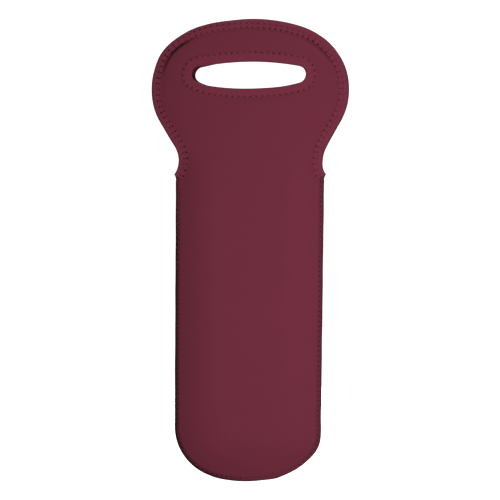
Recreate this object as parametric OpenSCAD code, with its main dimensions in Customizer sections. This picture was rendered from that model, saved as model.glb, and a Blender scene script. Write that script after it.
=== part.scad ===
// Soft bottle carrier. Two neoprene panels are sewn together round the sides and
// the bottom into a pouch. Above the pouch each panel goes on into its own handle,
// bound with tape round its edge and round its hand slot.
// Up is +Z, the front faces -Y, and the origin is the lowest point of the pouch.

/* [Neoprene sheet] */
// Thickness of the knitted jersey on the outside
face_t = 0.4; // [0.3:0.05:0.6]
// Thickness of the foam core
foam_t = 3.2; // [2:0.1:4.5]
// Thickness of the knitted jersey on the inside
lining_t = 0.4; // [0.3:0.05:0.6]

/* [Pouch] */
// Height of the pouch, from its lowest point to the throat
pouch_h = 278; // [240:1:300]
// Width across the side seams, where the bottom corners begin
pouch_w = 132.8; // [120:0.2:150]
// How much wider the pouch is at the throat
flare_w = 1.8; // [0:0.1:6]
// Radius of the two bottom corners
corner_r = 47.5; // [38:0.5:50]
// Radius of the bow along the bottom
bottom_r = 100; // [92:1:130]
// Inside depth of the empty pocket where it is fullest
pocket_depth = 18; // [12:1:30]
// Length over which the pocket narrows towards the throat
narrowing_h = 120; // [90:1:150]

/* [Closing seam] */
// Width of the flat band sewn together outside the pocket
seam_w = 2.5; // [1.5:0.1:5]
// Thickness that the foam is drawn down to under the stitches
seam_foam_t = 2.6; // [1.2:0.1:3]
// Width over which the foam swells from the seam to its full thickness
swell_w = 6; // [4:0.5:12]
// Rounding where the lining lifts out of the seam
lift_r = 2.5; // [2:0.5:8]

/* [Handle] */
// Width of a handle where it is widest
handle_w = 179; // [160:1:200]
// Height of a handle's top above its widest place
crown_h = 63.5; // [54:0.5:76]
// Radius of the rounded shoulders, as a share of the crown's height
shoulder_share = 0.92; // [0.8:0.01:0.97]
// Length of the straight cheek below each shoulder
cheek_l = 24.7; // [10:0.1:40]
// Radius of the hollow at each side of the neck
neck_r = 27; // [20:0.5:36]
// How much narrower the neck is than the pouch's mouth
neck_draw = 4.2; // [0:0.1:10]
// Height of the narrowest place above the throat
neck_h = 12; // [8:0.5:16]
// Space between the linings of the two handles
handle_gap = 9; // [6:0.1:12]

/* [Hand slot] */
// Length of the finished slot
slot_w = 103; // [90:1:112]
// Height of the finished slot at its middle
slot_h = 25.5; // [22:0.5:34]
// Radius of the slot's round ends
slot_end_r = 7.5; // [7:0.5:10]
// Height of the panel that is left above the slot
grip_h = 37.5; // [30:0.25:46]

/* [Binding tape] */
// Thickness of the tape
tape_t = 0.6; // [0.4:0.05:0.9]
// Width of the tape on each face, round the handle's edge
edge_tape_w = 8; // [6:0.5:10]
// Width of the tape on each face, round the slot
slot_tape_w = 8; // [6:0.5:10]
// Rounding of the tape where it folds over the edge
fold_r = 1.2; // [0.9:0.1:1.6]

/* [Fit] */
// Clearance left between the pouch and a handle at the throat
split_gap = 0.3; // [0.2:0.05:0.5]

/* [Hidden] */

// Rise of the lining per unit of width, where it leaves the seam
lift_share = 0.5;

// Places of the pouch's grid columns, from the middle to the seam
column_shares = [0, 0.2, 0.4, 0.58, 0.74, 0.87, 0.952, 1];

// Steps along each stretch of the outlines
bottom_steps = 4;
corner_steps = 6;
side_steps = 10;
neck_steps = 7;
shoulder_steps = 16;
top_steps = 6;
slot_end_steps = 10;
slot_bow_steps = 8;
fold_steps = 2;

panel_t = lining_t + foam_t + face_t;
handle_y = handle_gap / 2;
mouth_w = pouch_w + flare_w;

// Bottom of the pouch: a bow of bottom_r that runs into corners of corner_r
corner_x = pouch_w / 2 - corner_r;
corner_z = bottom_r - sqrt(pow(bottom_r - corner_r, 2) - pow(corner_x, 2));
bow_to_corner_a = atan2(corner_z - bottom_r, corner_x);

// Handle: shoulder arcs run into a flatter top arc, and a straight cheek is
// tangent to the shoulder and to the hollow of the neck
shoulder_r = shoulder_share * crown_h;
shoulder_x = handle_w / 2 - shoulder_r;
neck_x = (mouth_w - neck_draw) / 2 + neck_r;
cheek_dx = neck_x - shoulder_x;
cheek_dz = sqrt(pow(shoulder_r + neck_r, 2) + pow(cheek_l, 2) - pow(cheek_dx, 2));
cheek_a = atan2(cheek_l, shoulder_r + neck_r) - atan2(cheek_dz, cheek_dx);
widest_h = neck_h + cheek_dz;
handle_h = widest_h + crown_h;
top_r = (pow(shoulder_x, 2) + pow(crown_h, 2) - pow(shoulder_r, 2)) / (2 * (crown_h - shoulder_r));
shoulder_to_top_a = atan2(top_r - crown_h, shoulder_x);

// Slot: round ends joined by two shallow bows
slot_end_x = slot_w / 2 - slot_end_r;
slot_bow_r = (pow(slot_end_x, 2) + pow(slot_h / 2, 2) - pow(slot_end_r, 2)) / (slot_h - 2 * slot_end_r);
slot_bow_drop = slot_bow_r - slot_h / 2;
slot_end_a = atan2(slot_bow_drop, slot_end_x);
slot_z = handle_h - grip_h - slot_h / 2;

// Points of an arc, from angle a0 to angle a1
function arc(centre, r, a0, a1, steps) = [
    for (i = [0 : steps])
        let (a = a0 + (a1 - a0) * i / steps)
            centre + r * [cos(a), sin(a)]
];

// The same list without its last point
function open_ended(points) = [for (i = [0 : len(points) - 2]) points[i]];

// The same list from its last point to its first
function backwards(points) = [for (i = [len(points) - 1 : -1 : 0]) points[i]];

// Right half of an outline followed by its mirror image
function both_sides(half) = concat(half, [
    for (i = [len(half) - 2 : -1 : 0])
        [-half[i][0], half[i][1]]
]);

function ease(share) = (1 - cos(180 * max(0, min(1, share)))) / 2;

// Half width and height of each row of the pouch, from the bottom up. The
// first row is level, so the pouch ends in a short flat.
bow = arc([0, bottom_r], bottom_r, -90, bow_to_corner_a, bottom_steps);
corner = arc([corner_x, corner_z], corner_r, bow_to_corner_a, 0, corner_steps);
side = [
    for (i = [1 : side_steps])
        [pouch_w / 2, corner_z] + [(mouth_w - pouch_w) / 2, pouch_h - corner_z] * i / side_steps
];
rows = concat(
    [[bow[1][0] / 2, 0]],
    [for (i = [1 : bottom_steps]) bow[i]],
    [for (i = [1 : corner_steps]) corner[i]],
    side
);

columns = concat(
    [for (i = [len(column_shares) - 1 : -1 : 1]) -column_shares[i]],
    column_shares
);

function side_half_w(z) = pouch_w / 2
    + (mouth_w - pouch_w) / 2 * max(0, z - corner_z) / (pouch_h - corner_z);

// Distance in from the pouch's outline
function from_bow(x, z) = bottom_r - norm([x, z - bottom_r]);
function from_corner(x, z) = corner_r - norm([abs(x) - corner_x, z - corner_z]);
function over_bow(x, z) = z < bottom_r && abs(x) * (bottom_r - corner_z) < corner_x * (bottom_r - z);
function from_side(x, z) = side_half_w(z) - abs(x);
function from_edge(x, z) = max(0, z < corner_z
    ? (over_bow(x, z) ? from_bow(x, z) : from_corner(x, z))
    : (over_bow(x, z) ? min(from_bow(x, z), from_side(x, z)) : from_side(x, z)));

// Half depth that the pocket may reach at a height
function fullness(z) = handle_y + (pocket_depth / 2 - handle_y) * ease((pouch_h - z) / narrowing_h);

// The lining leaves the seam in a rounded lift and then bows out to its fullness
function lifted(d) = d <= seam_w ? 0 : norm([d - seam_w, lift_r]) - lift_r;
function lining_y(x, z) =
    let (full = fullness(z))
    let (share = min(1, lifted(from_edge(x, z)) * lift_share / (2 * full)))
        full * (1 - pow(1 - share, 2));
function foam_here(x, z) = seam_foam_t
    + (foam_t - seam_foam_t) * ease((from_edge(x, z) - seam_w) / swell_w);

// Faces in the stack: 0 inside the lining, 1 and 2 round the foam, 3 outside
function stack_y(level, x, z) = lining_y(x, z)
    + (level > 0 ? lining_t : 0)
    + (level > 1 ? foam_here(x, z) : 0)
    + (level > 2 ? face_t : 0);

// A ply of the pouch's back panel, between two levels of the stack
module pouch_ply(level) {
    across = len(columns);
    count = len(rows) * across;
    function at(row, column, far) = far * count + row * across + column;
    points = [
        for (far = [0, 1], row = rows, column = columns)
            let (x = row[0] * column)
                [x, stack_y(level + far, x, row[1]), row[1]]
    ];
    last_row = len(rows) - 1;
    last_column = across - 1;
    near_faces = [
        for (r = [0 : last_row - 1], c = [0 : last_column - 1])
            each [
                [at(r, c, 0), at(r + 1, c, 0), at(r + 1, c + 1, 0)],
                [at(r, c, 0), at(r + 1, c + 1, 0), at(r, c + 1, 0)]
            ]
    ];
    far_faces = [
        for (r = [0 : last_row - 1], c = [0 : last_column - 1])
            each [
                [at(r, c, 1), at(r + 1, c + 1, 1), at(r + 1, c, 1)],
                [at(r, c, 1), at(r, c + 1, 1), at(r + 1, c + 1, 1)]
            ]
    ];
    end_faces = [
        for (c = [0 : last_column - 1])
            each [
                [at(0, c, 0), at(0, c + 1, 0), at(0, c + 1, 1)],
                [at(0, c, 0), at(0, c + 1, 1), at(0, c, 1)],
                [at(last_row, c, 0), at(last_row, c + 1, 1), at(last_row, c + 1, 0)],
                [at(last_row, c, 0), at(last_row, c, 1), at(last_row, c + 1, 1)]
            ]
    ];
    side_faces = [
        for (r = [0 : last_row - 1])
            each [
                [at(r, 0, 0), at(r, 0, 1), at(r + 1, 0, 1)],
                [at(r, 0, 0), at(r + 1, 0, 1), at(r + 1, 0, 0)],
                [at(r, last_column, 0), at(r + 1, last_column, 1), at(r, last_column, 1)],
                [at(r, last_column, 0), at(r + 1, last_column, 0), at(r + 1, last_column, 1)]
            ]
    ];
    polyhedron(points, concat(near_faces, far_faces, end_faces, side_faces));
}

// Outline of a handle above the throat, drawn in by an inset, as an open line
// from the right foot over the top to the left foot
function handle_line(inset) =
    let (foot_a = 180 + asin((neck_h - split_gap) / (neck_r + inset)))
    let (neck = arc([neck_x, neck_h], neck_r + inset, foot_a, 180 + cheek_a, neck_steps))
    let (shoulder = arc([shoulder_x, widest_h], shoulder_r - inset, cheek_a, shoulder_to_top_a, shoulder_steps))
    let (top = arc([0, handle_h - top_r], top_r - inset, shoulder_to_top_a, 90, top_steps))
        both_sides(concat(neck, open_ended(shoulder), top));

// Outline of the slot, grown into the panel, as a closed line
function slot_line(grow) =
    let (end_r = slot_end_r + grow)
    let (bow_r = slot_bow_r + grow)
    let (right = arc([slot_end_x, 0], end_r, -slot_end_a, slot_end_a, slot_end_steps))
    let (upper = arc([0, -slot_bow_drop], bow_r, slot_end_a, 180 - slot_end_a, slot_bow_steps))
    let (left = arc([-slot_end_x, 0], end_r, 180 - slot_end_a, 180 + slot_end_a, slot_end_steps))
    let (lower = arc([0, slot_bow_drop], bow_r, 180 + slot_end_a, 360 - slot_end_a, slot_bow_steps))
        [
            for (p = concat(open_ended(right), open_ended(upper), open_ended(left), open_ended(lower)))
                p + [0, slot_z]
        ];

// A ply of the back handle: the flat sheet inside the folded tapes
module handle_ply(from, thickness) {
    translate([0, handle_y + from + thickness, pouch_h])
        rotate([90, 0, 0])
            linear_extrude(thickness)
                difference() {
                    polygon(handle_line(tape_t));
                    polygon(slot_line(tape_t));
                }
}

// Section of a folded tape as [distance in from the fold, distance off the
// sheet's middle], once round: over the fold outside, back along the sheet
function tape_section(width) =
    let (half = panel_t / 2 + tape_t)
    let (outer = [
        for (i = [fold_steps : -1 : 0])
            let (a = 90 * i / fold_steps)
                [fold_r * (1 - cos(a)), half - fold_r * (1 - sin(a))]
    ])
        concat(
            [[width, half]], outer,
            [for (i = [len(outer) - 1 : -1 : 0]) [outer[i][0], -outer[i][1]]],
            [[width, -half], [width, -panel_t / 2], [tape_t, -panel_t / 2]],
            [[tape_t, panel_t / 2], [width, panel_t / 2]]
        );

// Sweeps a tape's section along an outline. lines[k] is the outline at the
// inset of section point k.
module swept_tape(section, lines, closed) {
    stations = len(lines[0]);
    ring = len(section);
    middle_y = handle_y + panel_t / 2;
    function at(station, k) = (station % stations) * ring + k % ring;
    points = [
        for (station = [0 : stations - 1], k = [0 : ring - 1])
            [lines[k][station][0], middle_y + section[k][1], pouch_h + lines[k][station][1]]
    ];
    walls = [
        for (station = [0 : stations - (closed ? 1 : 2)], k = [0 : ring - 1])
            each [
                [at(station, k), at(station, k + 1), at(station + 1, k + 1)],
                [at(station, k), at(station + 1, k + 1), at(station + 1, k)]
            ]
    ];
    // An open tape ends in flat pieces between its fold and the sheet's corners
    near_fold = 1 + fold_steps;
    far_fold = 2 + fold_steps;
    end_pieces = concat(
        [[0, 1, ring - 2, ring - 1]],
        [for (k = [1 : fold_steps]) [k, k + 1, ring - 2]],
        [[near_fold, far_fold, ring - 3, ring - 2]],
        [for (k = [far_fold : far_fold + fold_steps - 1]) [k, k + 1, ring - 3]],
        [[ring - 6, ring - 5, ring - 4, ring - 3]]
    );
    last = stations - 1;
    caps = closed ? [] : concat(
        [for (f = end_pieces) backwards(f)],
        [for (f = end_pieces) [for (k = f) last * ring + k]]
    );
    polyhedron(points, concat(walls, caps));
}

module edge_tape() {
    section = tape_section(edge_tape_w);
    swept_tape(section, [for (p = section) handle_line(p[0])], false);
}

module slot_tape() {
    section = tape_section(slot_tape_w);
    swept_tape(section, [for (p = section) backwards(slot_line(p[0]))], true);
}

// The front is the back's mirror image
module front() {
    mirror([0, 1, 0]) children();
}

module face_colour() {
    color("#702c3d") children();
}

module foam_colour() {
    color("#26262a") children();
}

module lining_colour() {
    color("#5a2432") children();
}

module tape_colour() {
    color("#762d40") children();
}

module back_pouch_lining() {
    lining_colour() pouch_ply(0);
}

module back_pouch_foam() {
    foam_colour() pouch_ply(1);
}

module back_pouch_face() {
    face_colour() pouch_ply(2);
}

module back_handle_lining() {
    lining_colour() handle_ply(0, lining_t);
}

module back_handle_foam() {
    foam_colour() handle_ply(lining_t, foam_t);
}

module back_handle_face() {
    face_colour() handle_ply(lining_t + foam_t, face_t);
}

module back_edge_binding() {
    tape_colour() edge_tape();
}

module back_slot_binding() {
    tape_colour() slot_tape();
}

front() back_pouch_face();  // front_pouch_face
front() back_pouch_foam();  // front_pouch_foam
front() back_pouch_lining();  // front_pouch_lining
back_pouch_face();
back_pouch_foam();
back_pouch_lining();
front() back_handle_face();  // front_handle_face
front() back_handle_foam();  // front_handle_foam
front() back_handle_lining();  // front_handle_lining
front() back_edge_binding();  // front_edge_binding
front() back_slot_binding();  // front_slot_binding
back_handle_face();
back_handle_foam();
back_handle_lining();
back_edge_binding();
back_slot_binding();
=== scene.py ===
"""The look of a soft bottle carrier.

Two neoprene panels are sewn into a pouch, and each goes on above the mouth into a handle
with a hand slot. Folded tape binds the handles' edges and slots, and thread holds it all.
Up is +Z and the front faces -Y. All lengths are in metres.
"""

import logging
import math
from abc import ABC, abstractmethod
from collections.abc import Callable
from dataclasses import dataclass
from enum import Enum
from functools import cached_property, partial

import bpy
import numpy as np
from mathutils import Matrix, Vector

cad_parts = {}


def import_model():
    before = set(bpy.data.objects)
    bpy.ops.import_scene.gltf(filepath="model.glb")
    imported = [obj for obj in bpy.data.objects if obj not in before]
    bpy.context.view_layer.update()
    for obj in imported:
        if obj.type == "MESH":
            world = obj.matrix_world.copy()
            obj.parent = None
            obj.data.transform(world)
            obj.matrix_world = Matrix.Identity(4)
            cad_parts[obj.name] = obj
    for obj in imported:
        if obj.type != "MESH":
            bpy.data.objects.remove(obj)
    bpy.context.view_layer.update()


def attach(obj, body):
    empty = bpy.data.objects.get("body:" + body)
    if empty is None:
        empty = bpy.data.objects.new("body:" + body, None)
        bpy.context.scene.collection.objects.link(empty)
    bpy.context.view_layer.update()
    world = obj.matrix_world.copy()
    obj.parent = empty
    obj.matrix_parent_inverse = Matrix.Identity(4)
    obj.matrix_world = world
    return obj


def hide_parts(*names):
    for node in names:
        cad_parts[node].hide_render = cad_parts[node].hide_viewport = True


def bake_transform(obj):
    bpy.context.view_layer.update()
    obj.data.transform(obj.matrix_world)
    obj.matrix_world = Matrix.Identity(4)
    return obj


log = logging.getLogger("carrier")
MM = 0.001
Lengths = np.ndarray
Pair = tuple[Lengths, Lengths]
Stops = tuple[tuple[float, float], ...]


class Side(Enum):
    """Which of the two panels a piece belongs to, with its direction along Y."""
    FRONT = -1
    BACK = 1

    @property
    def word(self) -> str:
        """The side's name as the first word of a piece's name."""
        return self.name.lower()


class Leaf(Enum):
    """Which leaf of a folded tape, seen from the middle of the sheet that it binds."""
    OUTER = 1
    INNER = -1


class Level(Enum):
    """Faces in the stack of plies, from the pocket out."""
    LINING = 0
    LINING_FOAM = 1
    FOAM_FACE = 2
    FACE = 3


def ease(share: Lengths | float) -> Lengths:
    """A soft step from 0 to 1 as share goes from 0 to 1."""
    return (1 - np.cos(np.pi * np.clip(share, 0, 1))) / 2


def bell(offset: Lengths | float, width: Lengths | float) -> Lengths:
    """A bump of height 1 that fades over width on both sides of zero."""
    return np.exp(-((offset / width) ** 2))


@dataclass(frozen=True)
class NeedleRow:
    """One row of stitches, with how hard its thread is pulled in from place to place.

    The pulls are pairs: a share of the row's length, and the pull there from 0 to 1. The
    row drifts off its inset about one share of its length.
    """
    inset: float
    pulls: Stops = ((0.0, 0.8), (1.0, 0.8))
    drift: float = 0.0
    drift_at: float = 0.6
    drift_w: float = 0.12
    hole_r: float = 0.85 * MM

    def place(self, share: Lengths) -> Lengths:
        """Distance in from the edge, at a share of the row's length."""
        return self.inset + self.drift * bell(share - self.drift_at, self.drift_w)


class Outline(ABC):
    """An edge of the carrier, with the stitches that run along it.

    A place by the line is given by a run, the length along its stitches, and an inset, the
    distance from the edge into the cloth. The stretches make up half the line.
    """
    pitch: float
    rows: tuple[NeedleRow, ...]
    stretches: tuple[float, ...]

    @cached_property
    def row_inset(self) -> float:
        """Inset of the stitches, midway between the rows where there are two."""
        return sum(row.inset for row in self.rows) / len(self.rows)

    @cached_property
    def length(self) -> float:
        """Length of the whole line, along its stitches."""
        return 2 * sum(self.stretches)

    @property
    def stitches(self) -> int:
        """How many stitches a row has."""
        return round(self.length / self.pitch)

    @abstractmethod
    def point(self, run: Lengths, inset: Lengths | float) -> Pair:
        """Places across and heights of the points at a run and an inset."""


@dataclass(frozen=True)
class SeamLine(Outline):
    """The pouch's outline, from the right throat corner round the bottom to the left."""
    height: float = 278 * MM
    width: float = 132.8 * MM
    flare_w: float = 1.8 * MM
    corner_r: float = 47.5 * MM
    bottom_r: float = 100 * MM
    pitch: float = 4.5 * MM
    rows: tuple[NeedleRow, ...] = (
        NeedleRow(2.9 * MM, ((0, 0.8), (0.4, 0.8), (0.43, 0.3), (0.48, 0.3), (0.54, 0.8),
                             (0.62, 0.6), (1, 0.3)), hole_r=0.7 * MM),)

    @property
    def mouth_half(self) -> float:
        """Half the pouch's width at the throat."""
        return (self.width + self.flare_w) / 2

    @cached_property
    def corner(self) -> tuple[float, float]:
        """Centre of the right bottom corner."""
        x = self.width / 2 - self.corner_r
        return x, self.bottom_r - math.sqrt((self.bottom_r - self.corner_r) ** 2 - x ** 2)

    @cached_property
    def bow_a(self) -> float:
        """Angle at which the bottom bow runs into the corner."""
        return math.atan2(self.corner[1] - self.bottom_r, self.corner[0])

    @cached_property
    def stretches(self) -> tuple[float, float, float]:
        """Lengths of the side, the corner and half the bow.

        Returns:
            The three lengths, along the stitches.
        """
        corner = (self.corner_r - self.row_inset) * -self.bow_a
        bow = (self.bottom_r - self.row_inset) * (math.pi / 2 + self.bow_a)
        return self.height - self.corner[1], corner, bow

    def point(self, run: Lengths, inset: Lengths | float) -> Pair:
        """Points of the pouch's outline, drawn in by an inset.

        Args:
            run: length along the closing seam, from the right throat corner.
            inset: distance in from the pouch's edge.

        Returns:
            The points' places across and their heights.
        """
        side, corner, _ = self.stretches
        right = np.minimum(run, self.length - run)
        side_z = self.height - right
        corner_turn = -(right - side) / (self.corner_r - self.row_inset)
        bow_turn = self.bow_a - (right - side - corner) / (self.bottom_r - self.row_inset)
        where = [right <= side, right <= side + corner]
        x = np.select(where, [
            self.side_half(side_z) - inset,
            self.corner[0] + (self.corner_r - inset) * np.cos(corner_turn),
        ], (self.bottom_r - inset) * np.cos(bow_turn))
        z = np.select(where, [
            side_z,
            self.corner[1] + (self.corner_r - inset) * np.sin(corner_turn),
        ], self.bottom_r + (self.bottom_r - inset) * np.sin(bow_turn))
        return np.where(run < self.length / 2, x, -x), z

    def side_half(self, z: Lengths) -> Lengths:
        """Half the pouch's width at a height."""
        rise = np.clip((z - self.corner[1]) / (self.height - self.corner[1]), 0, 1)
        return self.width / 2 + self.flare_w / 2 * rise

    def over_bow(self, x: Lengths, z: Lengths) -> Lengths:
        """Whether points lie over the bottom's bow and not over a corner."""
        lean = np.abs(x) * (self.bottom_r - self.corner[1])
        return (z < self.bottom_r) & (lean < self.corner[0] * (self.bottom_r - z))

    def from_edge(self, x: Lengths, z: Lengths) -> Lengths:
        """Distance of the pouch's points in from its edge.

        Args:
            x: the points' places across.
            z: their heights.

        Returns:
            The distances, never below zero.
        """
        bow = self.bottom_r - np.hypot(x, z - self.bottom_r)
        corner = self.corner_r - np.hypot(np.abs(x) - self.corner[0], z - self.corner[1])
        side = self.side_half(z) - np.abs(x)
        over = self.over_bow(x, z)
        low = np.where(over, bow, corner)
        return np.maximum(0, np.where(
            z < self.corner[1], low, np.where(over, np.minimum(bow, side), side)))

    def run_at(self, x: Lengths, z: Lengths) -> Lengths:
        """Length along the closing seam at which points of the pouch lie.

        Args:
            x: the points' places across.
            z: their heights.

        Returns:
            The lengths, from the right throat corner.
        """
        side, corner, _ = self.stretches
        corner_turn = np.arctan2(z - self.corner[1], np.abs(x) - self.corner[0])
        bow_turn = np.arctan2(z - self.bottom_r, np.abs(x))
        right = np.select(
            [z >= self.corner[1], self.over_bow(x, z)],
            [self.height - z,
             side + corner + (self.bow_a - bow_turn) * (self.bottom_r - self.row_inset)],
            side - corner_turn * (self.corner_r - self.row_inset))
        return np.where(x >= 0, right, self.length - right)


@dataclass(frozen=True)
class EdgeLine(Outline):
    """The handle's outline, from the tape's right foot over the top to its left foot."""
    seam: SeamLine = SeamLine()
    width: float = 179 * MM
    crown_h: float = 63.5 * MM
    shoulder_share: float = 0.92
    cheek_l: float = 24.7 * MM
    neck_r: float = 27 * MM
    neck_draw: float = 4.2 * MM
    neck_h: float = 12 * MM
    foot_a: float = math.radians(207.5)
    pitch: float = 5.25 * MM
    rows: tuple[NeedleRow, ...] = (
        NeedleRow(5.1 * MM, ((0, 0.5), (0.2, 0.4), (0.5, 0.6), (0.57, 0.7), (0.62, 1), (0.85, 1),
                             (0.93, 0.6), (1, 0.6)), drift=-2.1 * MM),
        NeedleRow(8.0 * MM, ((0, 0.6), (0.06, 0.6), (0.09, 0.9), (0.13, 0.8), (0.18, 0.5),
                             (0.24, 0.6), (0.28, 0.9), (0.32, 1), (0.42, 0.85), (0.5, 0.65),
                             (0.58, 0.55), (0.66, 0.7), (0.72, 0.9), (0.86, 0.7), (0.92, 1),
                             (1, 0.9)),
                  drift=-1.6 * MM, drift_at=0.69, drift_w=0.1, hole_r=1.0 * MM))

    @property
    def shoulder_r(self) -> float:
        """Radius of the handle's rounded shoulders."""
        return self.shoulder_share * self.crown_h

    @property
    def shoulder_x(self) -> float:
        """Place of the right shoulder's centre across."""
        return self.width / 2 - self.shoulder_r

    @property
    def neck_x(self) -> float:
        """Place of the centre of the right hollow at the neck."""
        return self.seam.mouth_half - self.neck_draw / 2 + self.neck_r

    @property
    def neck_z(self) -> float:
        """Height of the hollow's centre."""
        return self.seam.height + self.neck_h

    @cached_property
    def cheek_rise(self) -> float:
        """Height of the shoulder's centre above the hollow's centre."""
        reach = (self.shoulder_r + self.neck_r) ** 2 + self.cheek_l ** 2
        return math.sqrt(reach - (self.neck_x - self.shoulder_x) ** 2)

    @cached_property
    def cheek_a(self) -> float:
        """Angle at which the straight cheek meets the shoulder."""
        lean = math.atan2(self.cheek_rise, self.neck_x - self.shoulder_x)
        return math.atan2(self.cheek_l, self.shoulder_r + self.neck_r) - lean

    @property
    def widest_z(self) -> float:
        """Height at which the handle is widest."""
        return self.neck_z + self.cheek_rise

    @property
    def top_z(self) -> float:
        """Height of the handle's top."""
        return self.widest_z + self.crown_h

    @cached_property
    def top_r(self) -> float:
        """Radius of the flatter arc over the top."""
        lever = self.shoulder_x ** 2 + self.crown_h ** 2 - self.shoulder_r ** 2
        return lever / (2 * (self.crown_h - self.shoulder_r))

    @cached_property
    def top_a(self) -> float:
        """Angle at which a shoulder runs into the top arc."""
        return math.atan2(self.top_r - self.crown_h, self.shoulder_x)

    @cached_property
    def stretches(self) -> tuple[float, float, float, float]:
        """Lengths of the neck, the cheek, the shoulder and half the top.

        Returns:
            The four lengths, midway between the tape's rows.
        """
        neck = (self.neck_r + self.row_inset) * (self.foot_a - math.pi - self.cheek_a)
        shoulder = (self.shoulder_r - self.row_inset) * (self.top_a - self.cheek_a)
        top = (self.top_r - self.row_inset) * (math.pi / 2 - self.top_a)
        return neck, self.cheek_l, shoulder, top

    def point(self, run: Lengths, inset: Lengths | float) -> Pair:
        """Points of the handle's outline, drawn in by an inset.

        Args:
            run: length along the tape, from its right foot over the top.
            inset: distance in from the handle's edge.

        Returns:
            The points' places across and their heights.
        """
        neck, cheek, shoulder, _ = self.stretches
        right = np.minimum(run, self.length - run)
        neck_turn = self.foot_a - right / (self.neck_r + self.row_inset)
        share = np.clip((right - neck) / cheek, 0, 1)
        turn = self.cheek_a + (right - neck - cheek) / (self.shoulder_r - self.row_inset)
        top_turn = self.top_a + (right - neck - cheek - shoulder) / (self.top_r - self.row_inset)
        hollow, round_r = self.neck_r + inset, self.shoulder_r - inset
        low = (self.neck_x - hollow * math.cos(self.cheek_a),
               self.neck_z - hollow * math.sin(self.cheek_a))
        high = (self.shoulder_x + round_r * math.cos(self.cheek_a),
                self.widest_z + round_r * math.sin(self.cheek_a))
        where = [right <= neck, right <= neck + cheek, right <= neck + cheek + shoulder]
        x = np.select(where, [
            self.neck_x + hollow * np.cos(neck_turn),
            low[0] + (high[0] - low[0]) * share,
            self.shoulder_x + round_r * np.cos(turn),
        ], (self.top_r - inset) * np.cos(top_turn))
        z = np.select(where, [
            self.neck_z + hollow * np.sin(neck_turn),
            low[1] + (high[1] - low[1]) * share,
            self.widest_z + round_r * np.sin(turn),
        ], self.top_z - self.top_r + (self.top_r - inset) * np.sin(top_turn))
        return np.where(run < self.length / 2, x, -x), z

    def from_edge(self, x: Lengths, z: Lengths) -> Lengths:
        """Distance of the handle's points in from its outer edge, right near the edge.

        Args:
            x: the points' places across.
            z: their heights.

        Returns:
            The distances, never below zero.
        """
        across, rise = np.abs(x) - self.shoulder_x, z - self.widest_z
        lean_x, lean_z = math.cos(self.cheek_a), math.sin(self.cheek_a)
        below = across * lean_z - rise * lean_x
        over_top = z - self.top_z + self.top_r
        where = [np.arctan2(over_top, np.abs(x)) >= self.top_a,
                 np.arctan2(rise, across) >= self.cheek_a, below <= self.cheek_l]
        return np.maximum(0, np.select(where, [
            self.top_r - np.hypot(x, over_top),
            self.shoulder_r - np.hypot(across, rise),
            self.shoulder_r - across * lean_x - rise * lean_z,
        ], np.hypot(self.neck_x - np.abs(x), z - self.neck_z) - self.neck_r))


@dataclass(frozen=True)
class SlotLine(Outline):
    """The hand slot's outline, once round from the start of its right end."""
    edge: EdgeLine = EdgeLine()
    width: float = 103 * MM
    height: float = 23.9 * MM
    end_r: float = 7.5 * MM
    grip_h: float = 37.5 * MM
    pitch: float = 5.4 * MM
    rows: tuple[NeedleRow, ...] = (NeedleRow(8.0 * MM, hole_r=0.92 * MM),)

    @property
    def end_x(self) -> float:
        """Place of the centre of the slot's right round end."""
        return self.width / 2 - self.end_r

    @cached_property
    def bow_r(self) -> float:
        """Radius of the slot's shallow bows."""
        lever = self.end_x ** 2 + (self.height / 2) ** 2 - self.end_r ** 2
        return lever / (self.height - 2 * self.end_r)

    @property
    def drop(self) -> float:
        """Distance from the slot's middle to the centre of a bow."""
        return self.bow_r - self.height / 2

    @cached_property
    def end_a(self) -> float:
        """Angle at which a round end runs into a bow."""
        return math.atan2(self.drop, self.end_x)

    @property
    def middle_z(self) -> float:
        """Height of the slot's middle."""
        return self.edge.top_z - self.grip_h - self.height / 2

    @cached_property
    def stretches(self) -> tuple[float, float]:
        """Lengths of a round end and of a bow.

        Returns:
            The two lengths, along the stitches.
        """
        end = (self.end_r + self.row_inset) * 2 * self.end_a
        bow = (self.bow_r + self.row_inset) * (math.pi - 2 * self.end_a)
        return end, bow

    def point(self, run: Lengths, inset: Lengths | float) -> Pair:
        """Points of the slot's outline, grown into the panel by an inset.

        Args:
            run: length round the slot, from the start of its right end.
            inset: distance from the slot's edge.

        Returns:
            The points' places across and their heights.
        """
        end, bow = self.stretches
        half = np.mod(run, end + bow)
        end_turn = half / (self.end_r + self.row_inset) - self.end_a
        bow_turn = self.end_a + (half - end) / (self.bow_r + self.row_inset)
        x = np.where(half <= end,
                     self.end_x + (self.end_r + inset) * np.cos(end_turn),
                     (self.bow_r + inset) * np.cos(bow_turn))
        z = np.where(half <= end,
                     (self.end_r + inset) * np.sin(end_turn),
                     (self.bow_r + inset) * np.sin(bow_turn) - self.drop)
        turned = np.where(np.mod(run, self.length) < end + bow, 1, -1)
        return turned * x, self.middle_z + turned * z

    def facing(self, x: Lengths, z: Lengths, inset: float) -> Pair:
        """Points of the grown slot's edge that face points further out on the head.

        Args:
            x: the outer points' places across.
            z: their heights.
            inset: distance of the facing points from the slot's edge.

        Returns:
            The facing points' places across and their heights.
        """
        core = np.clip(x, -self.end_x, self.end_x)
        turn = np.arctan2(z - self.middle_z, x - core)
        end_r = self.end_r + inset
        bow = np.sqrt((self.bow_r + inset) ** 2 - core ** 2) - self.drop
        beyond = np.abs(x) > self.end_x
        near_x = np.where(beyond, core + end_r * np.cos(turn), x)
        near_z = np.where(beyond, end_r * np.sin(turn), np.sign(z - self.middle_z) * bow)
        return near_x, self.middle_z + near_z


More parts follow.
